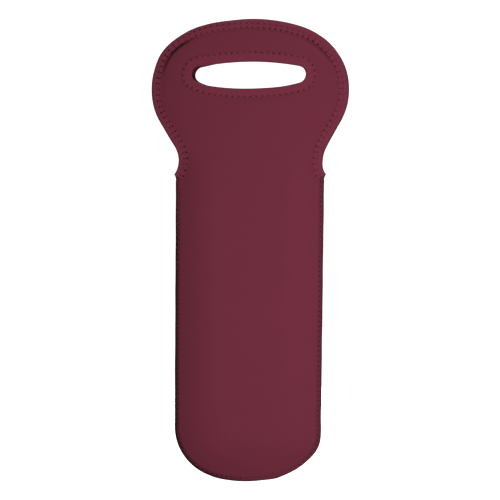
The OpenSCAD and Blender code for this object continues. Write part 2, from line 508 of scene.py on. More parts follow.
@dataclass(frozen=True)
class Pattern:
    """The carrier's three lines, and the tape that binds two of them."""
    slot: SlotLine = SlotLine()
    tape_t: float = 0.6 * MM
    tape_w: float = 9 * MM
    fold_r: float = 1.9 * MM
    tape_end_h: float = 6 * MM

    @property
    def edge(self) -> EdgeLine:
        """The handle's outline."""
        return self.slot.edge

    @property
    def seam(self) -> SeamLine:
        """The pouch's outline."""
        return self.edge.seam


@dataclass(frozen=True)
class Crease:
    """A short crease in the outside, along the inner side of the edge tape."""
    at_x: float
    at_z: float
    length: float
    depth: float
    inset: float
    width: float = 2.8 * MM
    lip_w: float = 0.8 * MM

    def dip(self, x: Lengths, z: Lengths, inset: Lengths) -> Lengths:
        """How far the outside dips.

        Args:
            x: the points' places across.
            z: their heights.
            inset: their distances in from the handle's edge.

        Returns:
            The depths, zero away from the crease.
        """
        past = inset - self.inset
        across = ease((past + self.lip_w) / self.lip_w) * (1 - ease(past / self.width))
        along = np.exp(-(np.hypot(x - self.at_x, z - self.at_z) / self.length) ** 4)
        return self.depth * across * along


@dataclass(frozen=True)
class Stack:
    """The plies on one side of the middle plane, with the pocket and the swell between."""
    pattern: Pattern = Pattern()
    lining_t: float = 0.4 * MM
    foam_t: float = 3.2 * MM
    face_t: float = 0.4 * MM
    pocket_depth: float = 18 * MM
    narrowing_h: float = 120 * MM
    seam_w: float = 2.5 * MM
    seam_foam_t: float = 3.1 * MM
    swell_w: float = 6 * MM
    foam_fade_h: float = 16 * MM
    lift_r: float = 2.5 * MM
    lift_share: float = 0.5
    pinch_h: float = 24 * MM
    rim_y: float = 1.2 * MM
    dome_y: float = 1.6 * MM
    dome_start: float = 6 * MM
    dome_w: float = 40 * MM
    bow_y: float = 5.2 * MM
    room_share: float = 1.3
    room_fade_h: float = 8 * MM
    press_t: float = 0.3 * MM
    press_w: float = 6 * MM
    press_fade_h: float = 4 * MM
    row_press: float = 0.03 * MM
    row_press_w: float = 0.9 * MM
    groove_w: float = 0.7 * MM
    groove_t: float = 0.04 * MM
    hole_t: float = 0.45 * MM
    roll_w: float = 5.5 * MM
    roll_left: float = 0.15 * MM
    foot_fade_h: float = 4 * MM
    edge_samples: int = 500
    slot_samples: int = 240
    creases: tuple[Crease, ...] = (
        Crease(-70 * MM, 389 * MM, length=21 * MM, depth=2.7 * MM, inset=7.3 * MM),
        Crease(65 * MM, 393 * MM, length=17 * MM, depth=1.2 * MM, inset=9 * MM))

    @property
    def thickness(self) -> float:
        """Thickness of the whole panel."""
        return self.lining_t + self.foam_t + self.face_t

    def from_bindings(self, x: Lengths, z: Lengths) -> Lengths:
        """Distance of the handle's points from its nearest bound edge.

        Args:
            x: the points' places across.
            z: their heights.

        Returns:
            The distances, and a metre for points well down the pouch.
        """
        pattern = self.pattern
        lines = (pattern.edge, self.edge_samples), (pattern.slot, self.slot_samples)
        bound = np.concatenate([
            np.stack(line.point(np.linspace(0, line.length, count), 0.0), 1)
            for line, count in lines])
        far = np.full(x.shape, 1.0)
        near = z > pattern.seam.height - 2 * pattern.tape_w
        gaps = np.hypot(x[near][:, None] - bound[:, 0], z[near][:, None] - bound[:, 1])
        far[near] = gaps.min(1)
        return far

    def pressed(self, inset: Lengths) -> Lengths:
        """How far the tape and its stitches press each face of the handle in.

        Args:
            inset: distance from the bound edge.

        Returns:
            The depths.
        """
        under_tape = self.press_t * (1 - ease((inset - self.pattern.tape_w) / self.press_w))
        rows = sum(bell(inset - row.inset, self.row_press_w) for row in self.pattern.edge.rows)
        return under_tape + self.row_press * rows

    def pocket_y(self, x: Lengths, z: Lengths) -> Lengths:
        """Half the pocket's depth in the pouch, which swells in from the closing seam.

        Args:
            x: the points' places across.
            z: their heights, no higher than the throat.

        Returns:
            The distances from the middle plane.
        """
        crest_y = self.rim_y + self.dome_y + self.bow_y
        down = self.pattern.seam.height - z
        open_y = crest_y + (self.pocket_depth / 2 - crest_y) * ease(down / self.narrowing_h)
        past = self.pattern.seam.from_edge(x, z) - self.seam_w
        lifted = np.where(past > 0, np.hypot(past, self.lift_r) - self.lift_r, 0)
        share = np.minimum(1, lifted * self.lift_share / (2 * open_y))
        return open_y * (1 - (1 - share) ** 2)

    def handle_y(self, x: Lengths, z: Lengths) -> Lengths:
        """Half the gap between the handles, which bow out and are domed inside their edge.

        Args:
            x: the points' places across.
            z: their heights.

        Returns:
            The distances from the middle plane.
        """
        edge = self.pattern.edge
        rise = np.clip((edge.from_edge(x, z) - self.dome_start) / self.dome_w, 0, 1)
        bow = 1 - (np.abs(x) / (edge.width / 2)) ** 3
        return self.rim_y + self.dome_y * (1 - (1 - rise) ** 2) + self.bow_y * bow

    def lining_y(self, x: Lengths, z: Lengths) -> Lengths:
        """Distance of the lining from the middle plane, before the tapes press it.

        Args:
            x: the points' places across.
            z: their heights.

        Returns:
            The distances, with room for the tapes' inner leaves between the handles.
        """
        pattern, over = self.pattern, z - self.pattern.seam.height
        pocket = self.pocket_y(x, np.minimum(z, pattern.seam.height))
        y = pocket + (self.handle_y(x, z) - pocket) * ease(over / self.pinch_h)
        room = pattern.tape_t * self.room_share * ease(
            (over + 2 * pattern.tape_w) / self.room_fade_h)
        return np.hypot(y, room)

    def foam_here(self, x: Lengths, z: Lengths) -> Lengths:
        """Thickness of the foam, drawn down along the closing seam.

        Args:
            x: the points' places across.
            z: their heights.

        Returns:
            The thicknesses.
        """
        seam = self.pattern.seam
        past = seam.from_edge(x, np.minimum(z, seam.height)) - self.seam_w
        thin = self.seam_foam_t + (self.foam_t - self.seam_foam_t) * ease(past / self.swell_w)
        return thin + (self.foam_t - thin) * ease((z - seam.height) / self.foam_fade_h)

    def seam_relief(self, x: Lengths, z: Lengths) -> Lengths:
        """How far the outside is rolled over at the edge and drawn in by the stitches.

        Args:
            x: the points' places across.
            z: their heights.

        Returns:
            The depths, which end below the tapes' feet.
        """
        seam = self.pattern.seam
        inset, run = seam.from_edge(x, z), seam.run_at(x, z)
        hole = 0.5 + 0.5 * np.cos(2 * np.pi * run / seam.pitch)
        groove = bell(inset - seam.row_inset, self.groove_w) * (self.groove_t + self.hole_t * hole)
        turn = np.clip(1 - inset / self.roll_w, 0, 1)
        rolled = (self.seam_foam_t - self.roll_left) * (1 - np.sqrt(1 - turn ** 2))
        below_foot = seam.height - self.pattern.tape_end_h - z
        return (groove + rolled) * ease(below_foot / self.foot_fade_h)

    def creased(self, x: Lengths, z: Lengths) -> Lengths:
        """How far the outside dips just inside the tape, at the shoulders."""
        inset = self.pattern.edge.from_edge(x, z)
        return sum(crease.dip(x, z, inset) for crease in self.creases)

    def y(self, level: Level, x: Lengths, z: Lengths) -> Lengths:
        """Distance of a face in the stack from the middle plane.

        Args:
            level: which face.
            x: the points' places across.
            z: their heights.

        Returns:
            The distances.
        """
        y = self.lining_y(x, z)
        if level is not Level.LINING:
            y = y + self.lining_t
        if level in (Level.FOAM_FACE, Level.FACE):
            y = y + self.foam_here(x, z) - self.seam_relief(x, z) - self.creased(x, z)
        if level is Level.FACE:
            y = y + self.face_t
        up = z - self.pattern.seam.height + self.pattern.tape_w
        squeeze = self.pressed(self.from_bindings(x, z)) * ease(up / self.press_fade_h)
        return y + squeeze if level in (Level.LINING, Level.LINING_FOAM) else y - squeeze


@dataclass(frozen=True)
class Push:
    """A soft push out at one side of the carrier, about one height.

    It starts at a distance from the middle and grows to its full size over a width. It
    fades over one height above its place and over another below it.
    """
    size: float
    from_x: float
    grow_w: float
    at_z: float
    above_h: float
    below_h: float

    def out(self, x: Lengths, z: Lengths) -> Lengths:
        """How far points move out, with x as their distance towards that side."""
        grown = self.size * ease((x - self.from_x) / self.grow_w)
        return grown * bell(z - self.at_z, np.where(z > self.at_z, self.above_h, self.below_h))


@dataclass(frozen=True)
class Lift:
    """A soft lift of an edge, about one place across."""
    size: float
    at_x: float
    width: float

    def here(self, x: Lengths) -> Lengths:
        """How far points rise."""
        return self.size * bell(x - self.at_x, self.width)


@dataclass(frozen=True)
class SlotLie:
    """How one handle's slot lies off its true place.

    The gape opens its bows, the drop lowers its left part and the crook lifts the end of
    its upper bow.
    """
    shift: float
    rise: float
    gape: float
    drop: float
    crook: float


@dataclass(frozen=True)
class Lie:
    """How the carrier lies, a little out of true as sewn goods do."""
    lean: float = 0.0088
    pouch_shift: float = 0.27 * MM
    pouch_top_z: float = 292 * MM
    pouch_fade_h: float = 12 * MM
    neck_shift: float = 0.6 * MM
    neck_z: float = 297 * MM
    neck_h: float = 11 * MM
    # Nub above the tape's foot, tuck below it, bottom corner, rounded shoulder
    right_pushes: tuple[Push, ...] = (
        Push(0.8 * MM, 40 * MM, 22 * MM, 277.3 * MM, 3 * MM, 1.6 * MM),
        Push(-0.4 * MM, 40 * MM, 22 * MM, 274.4 * MM, 1.3 * MM, 1.4 * MM),
        Push(2.45 * MM, 20 * MM, 30 * MM, 29.5 * MM, 12.5 * MM, 12.5 * MM),
        Push(-0.55 * MM, 40 * MM, 15 * MM, 405 * MM, 6 * MM, 6 * MM))
    # Nub above the tape's foot, tuck below it, swollen cheek, rounded shoulder
    left_pushes: tuple[Push, ...] = (
        Push(0.65 * MM, 40 * MM, 22 * MM, 277.3 * MM, 3 * MM, 1.6 * MM),
        Push(-0.5 * MM, 40 * MM, 22 * MM, 274.4 * MM, 1.3 * MM, 3.6 * MM),
        Push(1.2 * MM, 55 * MM, 20 * MM, 388 * MM, 11 * MM, 11 * MM),
        Push(-0.55 * MM, 40 * MM, 15 * MM, 405 * MM, 6 * MM, 6 * MM))
    ripple: float = 0.1 * MM
    side_waves: tuple[float, float] = (7.3 * MM, 19 * MM)
    bottom_wave: float = 9.1 * MM
    front_slot: SlotLie = SlotLie(
        shift=-1.1 * MM, rise=-1.7 * MM, gape=0.0, drop=0.0, crook=0.9 * MM)
    back_slot: SlotLie = SlotLie(
        shift=1.3 * MM, rise=0.5 * MM, gape=1.2 * MM, drop=1.2 * MM, crook=0.0)
    slot_reach: tuple[float, float] = (70 * MM, 26 * MM)
    slot_tilt: float = 0.01
    drop_x: float = 16 * MM
    drop_w: float = 28 * MM
    lip_h: float = 9 * MM
    low_lip_z: float = -11 * MM
    low_lip: tuple[Lift, ...] = (
        Lift(2.0 * MM, -49 * MM, 7 * MM), Lift(-0.6 * MM, 32 * MM, 15 * MM))
    high_lip_z: float = 8 * MM
    crook_x: float = -47 * MM
    crook_w: float = 9 * MM
    crown_h: float = 14 * MM
    crown_fade_h: float = 8 * MM
    crown_even: float = 0.09 * MM
    crown_pair: Lift = Lift(0.11 * MM, 38 * MM, 18 * MM)
    crown_dip: Lift = Lift(-0.55 * MM, -16 * MM, 14 * MM)
    bottom_h: float = 90 * MM
    bottom_tilt: float = 0.015
    bottom_edge_h: float = 14 * MM
    bottom_pair: Lift = Lift(-0.5 * MM, 30 * MM, 9 * MM)
    bottom_right: Lift = Lift(-0.6 * MM, 25 * MM, 7 * MM)

    def across(self, x: Lengths, z: Lengths, pattern: Pattern) -> Lengths:
        """How far points move across, apart from the slots' own shift.

        Args:
            x: the points' places across.
            z: their heights.
            pattern: the carrier's true pattern.

        Returns:
            The moves towards +X.
        """
        leant = self.lean * np.maximum(0, pattern.seam.height - z)
        shifted = self.pouch_shift * ease((self.pouch_top_z - z) / self.pouch_fade_h)
        neck = self.neck_shift * bell(z - self.neck_z, self.neck_h)
        right = sum(push.out(x, z) for push in self.right_pushes)
        left = sum(push.out(-x, z) for push in self.left_pushes)
        short, long = self.side_waves
        rippled = self.ripple * np.sin(z / short) * np.sin(z / long + np.sign(x))
        return neck - leant - shifted + right - left + rippled

    def up(self, x: Lengths, z: Lengths, pattern: Pattern) -> Lengths:
        """How far points rise at the crown and at the bottom.

        Args:
            x: the points' places across.
            z: their heights.
            pattern: the carrier's true pattern.

        Returns:
            The moves towards +Z.
        """
        crown = ease((z - pattern.edge.top_z + self.crown_h) / self.crown_fade_h)
        lifted = self.crown_even + self.crown_pair.here(np.abs(x)) + self.crown_dip.here(x)
        edge = 1 - ease(z / self.bottom_edge_h)
        sagged = self.bottom_pair.here(np.abs(x)) + self.bottom_right.here(x)
        bottom = 1 - ease(z / self.bottom_h)
        skewed = self.bottom_tilt * x + self.ripple * np.sin(x / self.bottom_wave + 1)
        return crown * lifted + edge * sagged + bottom * skewed

    def about_slot(self, x: Lengths, z: Lengths, side: Side, slot: SlotLine) -> Pair:
        """How far points move with the slot that they lie near.

        Args:
            x: the points' places across.
            z: their heights.
            side: which handle they are on.
            slot: the slot's true line.

        Returns:
            The moves towards +X and towards +Z.
        """
        lie = self.front_slot if side is Side.FRONT else self.back_slot
        rise = z - slot.middle_z
        reach_x, reach_z = self.slot_reach
        near = np.exp(-np.hypot(x / reach_x, rise / reach_z) ** 4)
        gaped = lie.gape * np.clip(rise / (slot.height / 2), -1, 1)
        dropped = lie.drop * ease((-x - self.drop_x) / self.drop_w)
        low = bell(rise - self.low_lip_z, self.lip_h) * sum(lift.here(x) for lift in self.low_lip)
        crook = lie.crook * bell(x - self.crook_x, self.crook_w)
        high = bell(rise - self.high_lip_z, self.lip_h) * crook
        tilted = self.slot_tilt * x + lie.rise + gaped - dropped
        return near * lie.shift, near * tilted + low + high

    def move(self, obj: bpy.types.Object, side: Side, pattern: Pattern) -> None:
        """Moves a finished mesh from the true pattern to how it lies.

        Args:
            obj: the mesh.
            side: which panel it belongs to.
            pattern: the carrier's true pattern.
        """
        points = read_points(obj)
        x, _, z = points.T.copy()
        slot_x, slot_z = self.about_slot(x, z, side, pattern.slot)
        points[:, 0] += self.across(x, z, pattern) + slot_x
        points[:, 2] += self.up(x, z, pattern) + slot_z
        write_points(obj, points)


def read_points(obj: bpy.types.Object) -> Lengths:
    """All of a mesh's points.

    Args:
        obj: the mesh's object.

    Returns:
        The points, one row each.
    """
    flat = np.empty(len(obj.data.vertices) * 3, np.float32)
    obj.data.vertices.foreach_get("co", flat)
    return flat.reshape(-1, 3).astype(float)


def write_points(obj: bpy.types.Object, points: Lengths) -> None:
    """Puts a mesh's points in new places."""
    obj.data.vertices.foreach_set("co", points.astype(np.float32).ravel())
    obj.data.update()


def select_only(*objs: bpy.types.Object) -> None:
    """Selects these objects and no others.

    Args:
        objs: the objects, of which the first becomes the active one.
    """
    bpy.ops.object.select_all(action="DESELECT")
    for obj in objs:
        obj.select_set(True)
    bpy.context.view_layer.objects.active = objs[0]


def edit_all(obj: bpy.types.Object, *steps: Callable[[], object]) -> None:
    """Runs steps in edit mode with the whole of one mesh selected.

    Args:
        obj: the mesh.
        steps: the steps, in order.
    """
    select_only(obj)
    bpy.ops.object.mode_set(mode="EDIT")
    bpy.ops.mesh.select_all(action="SELECT")
    for step in steps:
        step()
    bpy.ops.object.mode_set(mode="OBJECT")


def join(name: str, *objs: bpy.types.Object) -> bpy.types.Object:
    """Joins objects into one.

    Args:
        name: the new object's name.
        objs: the objects to join, at least one.

    Returns:
        The new object.
    """
    select_only(*objs)
    if len(objs) > 1:
        bpy.ops.object.join()
    obj = bpy.context.view_layer.objects.active
    obj.name = obj.data.name = name
    return obj


def make_patch(name: str, points: Lengths, run: Lengths, across: Lengths) -> bpy.types.Object:
    """Adds a grid and lays its points on a surface.

    Args:
        name: the patch's name.
        points: places of the grid's points, as rows by columns by 3.
        run: the map's first value at each point, as rows by columns.
        across: the map's second value at each point.

    Returns:
        The patch, with its map.
    """
    rows, columns = points.shape[:2]
    bpy.ops.mesh.primitive_grid_add(x_subdivisions=columns - 1, y_subdivisions=rows - 1, size=1)
    patch = bpy.context.object
    patch.name = patch.data.name = name
    write_points(patch, points.reshape(-1, 3))
    corners = np.empty(len(patch.data.loops), np.int32)
    patch.data.loops.foreach_get("vertex_index", corners)
    places = np.stack([run.ravel()[corners], across.ravel()[corners]], 1)
    patch.data.uv_layers[0].data.foreach_set("uv", places.astype(np.float32).ravel())
    return patch


def face_along(obj: bpy.types.Object, direction: float) -> None:
    """Turns an open sheet's faces so that they look along Y in one direction.

    Args:
        obj: the sheet.
        direction: 1 to look towards +Y, -1 towards -Y.
    """
    normals = np.empty(len(obj.data.polygons) * 3, np.float32)
    obj.data.polygons.foreach_get("normal", normals)
    if normals.reshape(-1, 3)[:, 1].sum() * direction < 0:
        edit_all(obj, bpy.ops.mesh.flip_normals)


def volume(obj: bpy.types.Object) -> float:
    """Volume of a closed mesh.

    Args:
        obj: the mesh.

    Returns:
        The volume, below zero where the faces look inwards.
    """
    obj.data.calc_loop_triangles()
    corners = np.empty(len(obj.data.loop_triangles) * 3, np.int32)
    obj.data.loop_triangles.foreach_get("vertices", corners)
    a, b, c = np.moveaxis(read_points(obj)[corners.reshape(-1, 3)], 1, 0)
    return float((a * np.cross(b, c)).sum() / 6)


def shoelace(x: Lengths, z: Lengths) -> float:
    """Area inside a closed line of points, from their places across and heights."""
    return abs(float(np.dot(x, np.roll(z, -1)) - np.dot(z, np.roll(x, -1)))) / 2


class Signal:
    """A shader socket that can be reckoned with."""

    def __init__(self, shader: "Shader", socket: bpy.types.NodeSocket) -> None:
        """Wraps a socket of a shader."""
        self.shader = shader
        self.socket = socket

    def math(self, operation: str, *others: "Signal | float") -> "Signal":
        """Adds a Math node on this signal and others."""
        values = dict(enumerate((self, *others)))
        return self.shader.node("ShaderNodeMath", {"operation": operation}, values)

    def clamp(self, least: float = 0.0) -> "Signal":
        """This signal, kept between a least value and 1."""
        return self.shader.node("ShaderNodeClamp", None, {0: self, 1: least})

    def bell(self, width: float) -> "Signal":
        """A bump of height 1 where this signal is zero, which fades over a width."""
        off = self / width
        return (off * off * -1).math("EXPONENT")

    def __add__(self, other: "Signal | float") -> "Signal":
        """This signal plus another."""
        return self.math("ADD", other)

    __radd__ = __add__

    def __mul__(self, other: "Signal | float") -> "Signal":
        """This signal times another."""
        return self.math("MULTIPLY", other)

    __rmul__ = __mul__

    def __sub__(self, other: "Signal | float") -> "Signal":
        """This signal less another."""
        return self.math("SUBTRACT", other)

    def __rsub__(self, other: float) -> "Signal":
        """A number less this signal."""
        return self * -1 + other

    def __truediv__(self, other: float) -> "Signal":
        """This signal over a number."""
        return self * (1 / other)


class Shader:
    """A material's node tree, with one surface shader."""

    def __init__(self, name: str) -> None:
        """Makes an empty material.

        Args:
            name: the material's name.
        """
        self.material = bpy.data.materials.new(name)
        self.material.use_nodes = True
        self.tree = self.material.node_tree
        self.tree.nodes.clear()

    def node(self, kind: str, settings: dict[str, object] | None = None,
             values: dict[object, object] | None = None, output: str | int = 0) -> Signal:
        """Adds a node.

        Args:
            kind: the node's type.
            settings: the node's own settings, which are set first.
            values: numbers, colours or signals for its inputs, by name or place.
            output: the output that is wanted, by name or place.

        Returns:
            The signal from that output.
        """
        node = self.tree.nodes.new(kind)
        for key, value in (settings or {}).items():
            if key == "stops":
                self.set_stops(node, value)
            else:
                setattr(node, key, value)
        for key, value in (values or {}).items():
            if isinstance(value, Signal):
                self.tree.links.new(value.socket, node.inputs[key])
            else:
                node.inputs[key].default_value = value
        return Signal(self, node.outputs[output])

    @staticmethod
    def set_stops(node: bpy.types.Node, stops: list[tuple[float, tuple]]) -> None:
        """Gives a colour ramp its stops.

        Args:
            node: the ramp, which has two stops at first.
            stops: pairs of a place from 0 to 1 and a colour, at least two.
        """
        elements = node.color_ramp.elements
        for index, (place, colour) in enumerate(stops):
            stop = elements[index] if index < 2 else elements.new(place)
            stop.position, stop.color = place, colour

    def place(self, name: str) -> tuple[Signal, Signal, Signal]:
        """The three parts of a texture coordinate.

        Args:
            name: Object or UV.

        Returns:
            The parts, in order.
        """
        whole = self.node("ShaderNodeTexCoord", output=name)
        split = self.node("ShaderNodeSeparateXYZ", None, {0: whole}).socket.node
        return tuple(Signal(self, socket) for socket in split.outputs)

    def noise(self, scale: float, detail: float, where: Signal | None = None) -> Signal:
        """Smooth noise about 0.5.

        Args:
            scale: how fine it is.
            detail: how many finer layers it has.
            where: the place that it is read at, or None for the piece's own place.

        Returns:
            The noise.
        """
        where = where or self.node("ShaderNodeTexCoord", output="Object")
        return self.node("ShaderNodeTexNoise", None,
                         {"Vector": where, "Scale": scale, "Detail": detail}, "Fac")

    def level(self, share: Signal, stops: Stops) -> Signal:
        """A number that goes from stop to stop as the share goes from 0 to 1."""
        greys = [(place, (value, value, value, 1.0)) for place, value in stops]
        return self.node("ShaderNodeValToRGB", {"stops": greys}, {0: share})

    def blend(self, share: Signal, first: object, second: object) -> Signal:
        """A colour that goes from the first to the second with the share."""
        return self.node("ShaderNodeMix", {"data_type": "RGBA"},
                         {"Factor": share, 6: first, 7: second}, 2)

    def bump(self, strength: float, depth: float, height: Signal) -> Signal:
        """A normal that follows a height."""
        return self.node("ShaderNodeBump", None,
                         {"Strength": strength, "Distance": depth, "Height": height}, "Normal")

    def surface(self, values: dict[str, object]) -> bpy.types.Material:
        """Ends the tree with a Principled surface.

        Args:
            values: numbers, colours or signals for the surface's inputs, by name.

        Returns:
            The finished material.
        """
        end = self.node("ShaderNodeBsdfPrincipled", None, values)
        out = self.tree.nodes.new("ShaderNodeOutputMaterial")
        self.tree.links.new(end.socket, out.inputs["Surface"])
        return self.material


def paint(code: str) -> tuple[float, float, float, float]:
    """A colour from its six-figure screen code.

    Args:
        code: two hexadecimal figures each for red, green and blue.

    Returns:
        The light that it sends back in each, by the usual screen curve, and 1.
    """
    parts = [int(code[i:i + 2], 16) / 255 for i in (0, 2, 4)]
    linear = [p / 12.92 if p <= 0.04045 else ((p + 0.055) / 1.055) ** 2.4 for p in parts]
    return (*linear, 1.0)


@dataclass(frozen=True)
class JerseyFinish:
    """Fine knitted jersey, with needle holes darkened by painted shade where stitches run over it.

    The knit follows the stitches on a tape and the piece's own place elsewhere. The shade
    fields paint shade along the line where light falls off: at its very edge, further in, and
    along its row. Where a place along Y is given, the painted shade further in ends there.
    """
    name: str
    colour: str
    groove: str
    line: Outline | None = None
    along_line: bool = False
    # Painted shade along the line, where light falls off at the seam and in the slot
    row_painted_shade: float = 0.0
    edge_painted_shade: Stops = ((0, 0), (1, 0))
    deep_painted_shade: Stops = ()
    painted_shade_to_y: float = 0.0
    # Colour of the painted shade, also in the needle holes
    painted_shade_colour: str = "22080F"
    wale: float = 0.55 * MM
    course: float = 0.45 * MM
    wale_share: float = 0.3
    course_share: float = 0.2
    knit_tone: float = 0.35
    fuzz_scale: float = 1400
    fuzz_tone: float = 0.5
    fuzz_height: float = 0.5
    cloud_scale: float = 38
    cloud_tone: float = 0.15
    edge_w: float = 1.5 * MM
    row_w: float = 1.4 * MM
    deep_w: float = 3.7 * MM
    shade_fade_y: float = 1.5 * MM
    hole_soft_share: float = 0.45
    hole_grow: float = 0.35
    hole_depth: float = 3.0
    uneven_run: float = 0.31
    uneven_w: float = 2.4 * MM
    uneven_gain: float = 2.2
    uneven_less: float = 0.2
    least_hole: float = 0.62
    bump: float = 0.15
    bump_depth: float = 0.12 * MM
    roughness: float = 0.82
    fuzz_roughness: float = 0.12
    specular: float = 0.12
    sheen: float = 0.02
    sheen_roughness: float = 0.5

    def material(self) -> bpy.types.Material:
        """Builds the material.

        Returns:
            The material.
        """
        shader = Shader(self.name)
        knit, fuzz = self.knit(shader), shader.noise(self.fuzz_scale, 3)
        cloud = shader.noise(self.cloud_scale, 2)
        tone = ((knit - 0.5) * self.knit_tone + (fuzz - 0.5) * self.fuzz_tone
                + (cloud - 0.5) * self.cloud_tone + 0.5)
        colour = shader.blend(tone.clamp(), paint(self.groove), paint(self.colour))
        height = knit + fuzz * self.fuzz_height
        # Painted shade along the line where light falls off, blended towards the shade colour.
        if self.deep_painted_shade:
            colour = shader.blend(self.shade(shader), colour, paint(self.painted_shade_colour))
        # Painted shade in the needle holes, which also lower the bump height there.
        if self.line:
            holes = self.holes(shader)
            colour = shader.blend(holes, colour, paint(self.painted_shade_colour))
            height = height - holes * self.hole_depth
        return shader.surface({
            "Base Color": colour, "Roughness": fuzz * self.fuzz_roughness + self.roughness,
            "Normal": shader.bump(self.bump, self.bump_depth, height),
            "Specular IOR Level": self.specular, "Sheen Weight": self.sheen,
            "Sheen Roughness": self.sheen_roughness})

    def knit(self, shader: Shader) -> Signal:
        """The height of the knit, from 0 between the loops to 1 on them.

        Args:
            shader: the material's shader.

        Returns:
            The height.
        """
        if self.along_line:
            run, across, _ = shader.place("UV")
            wales, courses = run * (self.line.pitch / self.wale), across / self.course
        else:
            x, _, z = shader.place("Object")
            wales, courses = x / self.wale, z / self.course
        slant = (wales.math("FRACT") - 0.5).math("ABSOLUTE")
        column = (wales * (2 * math.pi)).math("COSINE")
        loop = ((courses + slant) * (2 * math.pi)).math("COSINE")
        return column * self.wale_share + loop * self.course_share + 0.5

    def share(self, shader: Shader) -> Signal:
        """How far along its line the cloth is, from 0 to 1."""
        return shader.place("UV")[0] * (self.line.pitch / self.line.length)

    def shade(self, shader: Shader) -> Signal:
        """Painted shade along the line's row and at its rolled or folded edge, where light falls
        off.

        Args:
            shader: the material's shader.

        Returns:
            The painted shade, from 0 to 1.
        """
        across, share, row = shader.place("UV")[1], self.share(shader), self.line.rows[0]
        edge = across.bell(self.edge_w) * shader.level(share, self.edge_painted_shade)
        deep = (across * across).bell(self.deep_w ** 2) * shader.level(share, self.deep_painted_shade)
        if self.painted_shade_to_y:
            short = (self.painted_shade_to_y - shader.place("Object")[1]) / self.shade_fade_y
            deep = deep * short.clamp()
        along = (across - row.inset).bell(self.row_w) * shader.level(share, row.pulls)
        return edge + deep + along * self.row_painted_shade

    def holes(self, shader: Shader) -> Signal:
        """Where the needle holes are, for their painted shade and their dip in the bump.

        Args:
            shader: the material's shader.

        Returns:
            How deep in a hole the cloth is, from 0 to 1.
        """
        run, across, _ = shader.place("UV")
        along = (run.math("FRACT") - 0.5) * self.line.pitch
        share, marks = self.share(shader), None
        for row in self.line.rows:
            drift = (share - row.drift_at).bell(row.drift_w) * row.drift
            gap = across - row.inset - drift
            far = (along * along + gap * gap).math("SQRT")
            mark = (row.hole_r - far) / (self.hole_soft_share * row.hole_r) + self.hole_grow
            mark = mark.clamp() * shader.level(share, row.pulls)
            marks = mark if marks is None else marks.math("MAXIMUM", mark)
        spot = shader.node("ShaderNodeCombineXYZ", None,
                           {0: run * self.uneven_run, 1: across / self.uneven_w})
        uneven = shader.noise(1.0, 1.0, spot) * self.uneven_gain - self.uneven_less
        return marks * uneven.clamp(self.least_hole)


@dataclass(frozen=True)
class FoamFinish:
    """Closed-cell foam, seen only at cut edges."""
    name: str = "neoprene_foam"
    colour: str = "241A1D"
    cell: str = "0E090B"
    cell_scale: float = 2600.0
    cell_tone: float = 1.2
    grain_scale: float = 900
    grain_tone: float = 0.6
    bump: float = 0.5
    bump_depth: float = 0.15 * MM
    roughness: float = 0.86
    grain_roughness: float = 0.1
    specular: float = 0.2

    def material(self) -> bpy.types.Material:
        """Builds the material.

        Returns:
            The material.
        """
        shader = Shader(self.name)
        where = shader.node("ShaderNodeTexCoord", output="Object")
        cells = shader.node("ShaderNodeTexVoronoi", None,
                            {"Vector": where, "Scale": self.cell_scale}, "Distance")
        grain = shader.noise(self.grain_scale, 3)
        share = cells * self.cell_tone + (grain - 0.5) * self.grain_tone
        return shader.surface({
            "Base Color": shader.blend(share.clamp(), paint(self.cell), paint(self.colour)),
            "Roughness": grain * self.grain_roughness + self.roughness,
            "Normal": shader.bump(self.bump, self.bump_depth, cells),
            "Specular IOR Level": self.specular})


@dataclass(frozen=True)
class ThreadFinish:
    """Spun polyester thread, twisted from plies."""
    name: str = "sewing_thread"
    light: str = "7B3344"
    dark: str = "662739"
    ply: float = 0.5 * MM
    slant: float = 1.7
    twist_tone: float = 0.7
    lint_scale: float = 3000
    lint_tone: float = 0.5
    lint_less: float = 0.1
    bump: float = 0.4
    bump_depth: float = 0.08 * MM
    roughness: float = 0.55
    lint_roughness: float = 0.1
    specular: float = 0.35

    def material(self) -> bpy.types.Material:
        """Builds the material.

        Returns:
            The material.
        """
        shader = Shader(self.name)
        x, y, z = shader.place("Object")
        turns = (x + y * self.slant + z) * (2 * math.pi / self.ply)
        twist = turns.math("SINE") * 0.5 + 0.5
        lint = shader.noise(self.lint_scale, 2)
        share = twist * self.twist_tone + lint * self.lint_tone - self.lint_less
        return shader.surface({
            "Base Color": shader.blend(share.clamp(), paint(self.dark), paint(self.light)),
            "Roughness": lint * self.lint_roughness + self.roughness,
            "Normal": shader.bump(self.bump, self.bump_depth, twist),
            "Specular IOR Level": self.specular})


@dataclass
class Workshop:
    """What every piece shares: the stack of plies, how it lies, and the materials."""
    stack: Stack
    lie: Lie
    materials: dict[str, bpy.types.Material]
    bend_y: float = 8 * MM
    bend_from: float = -5 * MM
    bend_h: float = 29 * MM

    @property
    def pattern(self) -> Pattern:
        """The pattern that the plies are cut to."""
        return self.stack.pattern

    def dress(self, obj: bpy.types.Object, side: Side, material: str, slot: str | None = None,
              smooth_to: float = 40) -> None:
        """Lays a piece as it lies, smooths it and gives it its material.

        Args:
            obj: the piece.
            side: which panel it belongs to.
            material: what the material is for, as finishes() names it.
            slot: a material slot's name, which is not used.
            smooth_to: the widest angle, in degrees, that is shaded smooth.
        """
        self.lie.move(obj, side, self.pattern)
        select_only(obj)
        bpy.ops.object.shade_smooth_by_angle(angle=math.radians(smooth_to))
        obj.data.materials.clear()
        obj.data.materials.append(self.materials[material])
        log.info("%s: %d points, %d faces", obj.name, len(obj.data.vertices),
                 len(obj.data.polygons))

    def across_throat(self, obj: bpy.types.Object, side: Side) -> None:
        """Bakes a piece's transform into its mesh.

        Args:
            obj: the piece.
            side: which handle it belongs to.
        """
        low = Vector((0, side.value * self.bend_y, self.pattern.seam.height + self.bend_from))
        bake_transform(obj)


